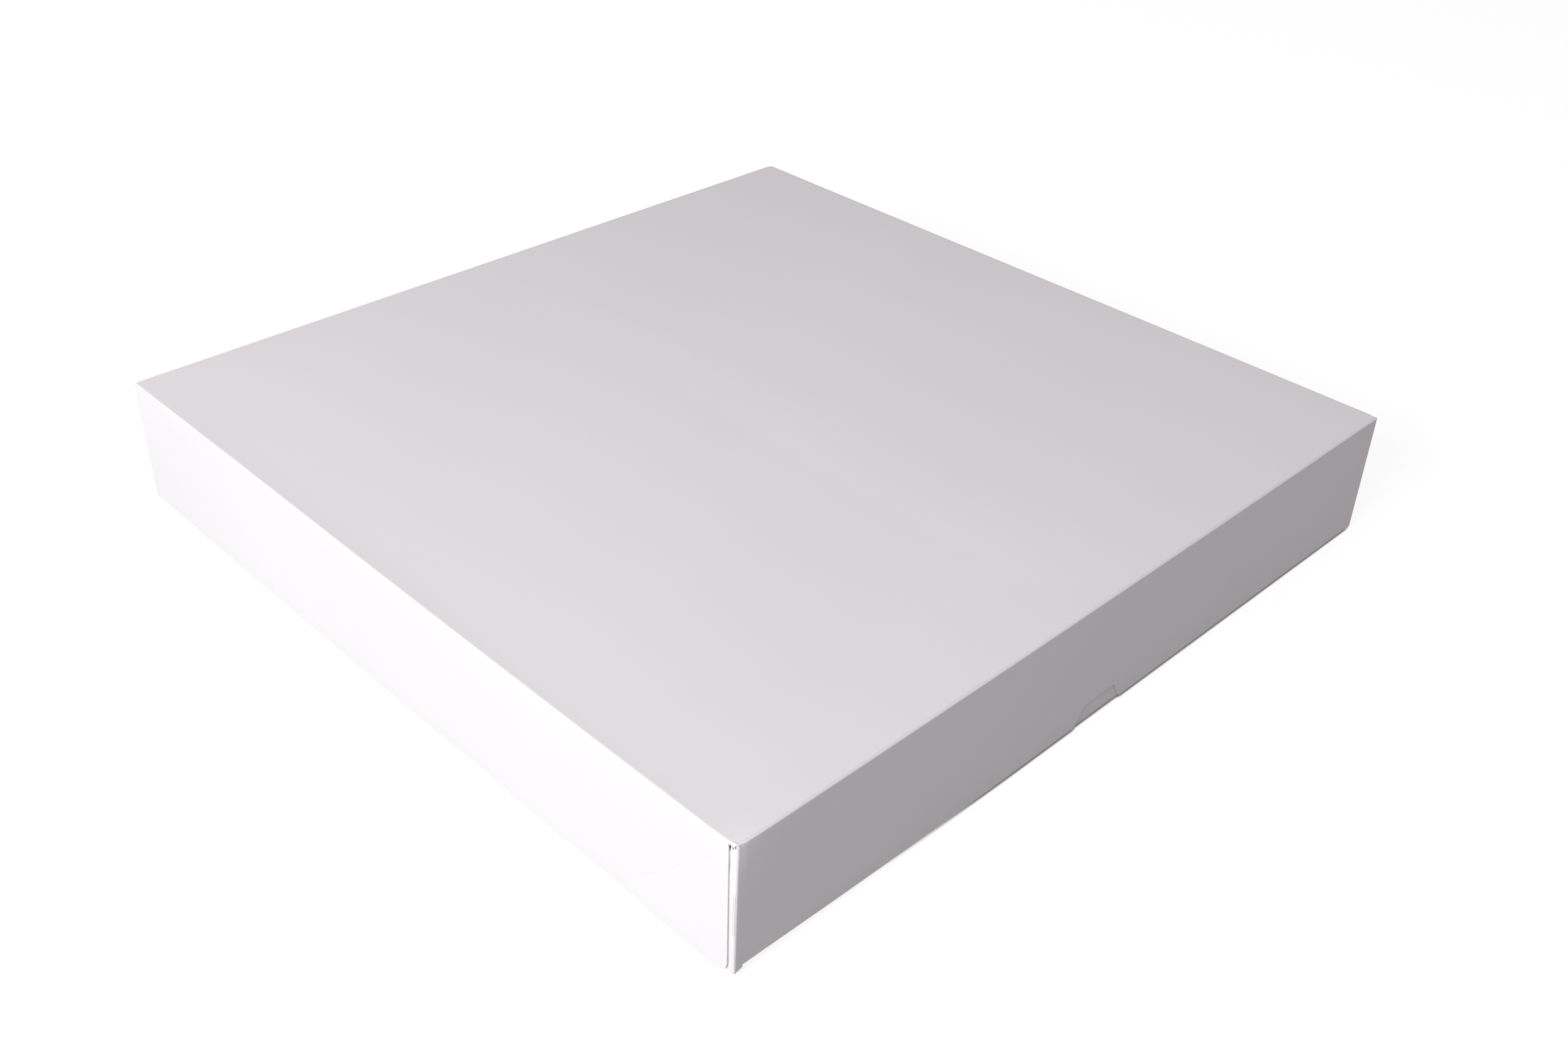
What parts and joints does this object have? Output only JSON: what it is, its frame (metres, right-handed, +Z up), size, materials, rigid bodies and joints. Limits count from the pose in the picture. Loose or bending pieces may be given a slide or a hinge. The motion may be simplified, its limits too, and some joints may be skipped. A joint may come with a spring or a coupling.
{
  "type": "cake box",
  "caption": "Flat square cake box of white paperboard: a tray with glued corners and a hinged lid that closes over it, with a thumb notch in the lid's front wall.",
  "frame": {"origin": "centre of the base, on the surface that the box stands on", "axes": "+Z up through the lid, +Y towards the hinge crease, -Y towards the wall with the thumb notch, +X to the right seen from the front"},
  "size_m": [0.334, 0.33, 0.05],
  "materials": {
    "board_inside": "matte",
    "board_coated": "satin"
  },
  "bodies": {
    "tray": {"tray": "board_inside"},
    "lid": {"lid": "board_coated"}
  },
  "joints": [
    {"name": "lid_hinge", "type": "hinge", "parent": "tray", "child": "lid", "pos_m": [0, 0.1645, 0.0495], "axis": [-1, 0, 0], "range_deg": [0, 180]}
  ]
}
